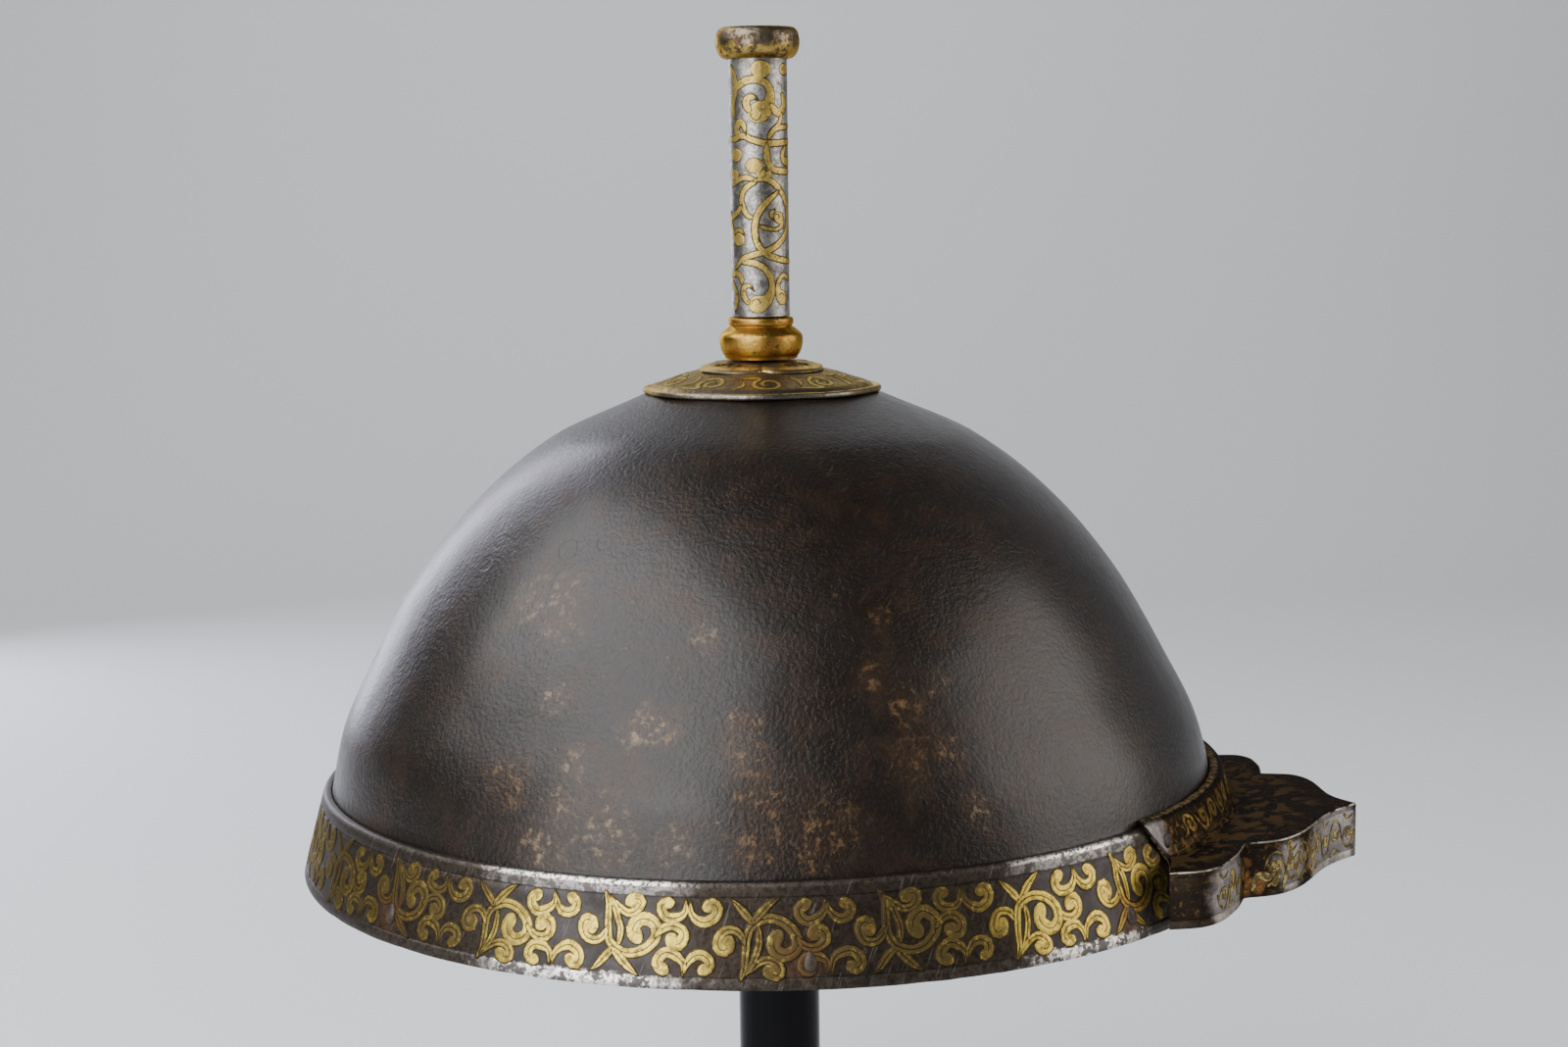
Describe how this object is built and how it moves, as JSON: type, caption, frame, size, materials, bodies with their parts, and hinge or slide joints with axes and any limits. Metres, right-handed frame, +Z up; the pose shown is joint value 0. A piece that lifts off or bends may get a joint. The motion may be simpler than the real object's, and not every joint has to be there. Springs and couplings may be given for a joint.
{
  "type": "tibetan helmet on a display stand",
  "caption": "Domed iron riding helmet with a damascened brow band, a cusped peak with a deep skirt and a tubular plume finial, resting on a plain turned stand",
  "frame": {"origin": "centre of the stand's foot, on the floor", "axes": "+Z up along the stand's pole and the plume tube; the peak faces -Y"},
  "size_m": [0.2398, 0.2677, 0.3599],
  "materials": {
    "russet_iron": "russet brown patina, semi-gloss",
    "damascened_iron": "silver ground with worn gold scrolls",
    "gilding": "worn gilding",
    "black_paint": "gloss"
  },
  "bodies": {
    "root": {"bowl": "russet_iron", "brow_band": "damascened_iron", "peak": "russet_iron", "band_rivet_1": "russet_iron", "band_rivet_2": "russet_iron", "band_rivet_3": "russet_iron", "band_rivet_4": "russet_iron", "band_rivet_5": "russet_iron", "band_rivet_6": "russet_iron", "band_rivet_7": "russet_iron", "peak_rivet_left": "russet_iron", "peak_rivet_right": "russet_iron", "finial_plate": "gilding", "finial_petals": "gilding", "finial_knop": "gilding", "plume_tube": "damascened_iron", "tube_mouth": "gilding", "stand_head": "black_paint", "stand_pole": "black_paint", "stand_base": "black_paint"}
  },
  "joints": []
}
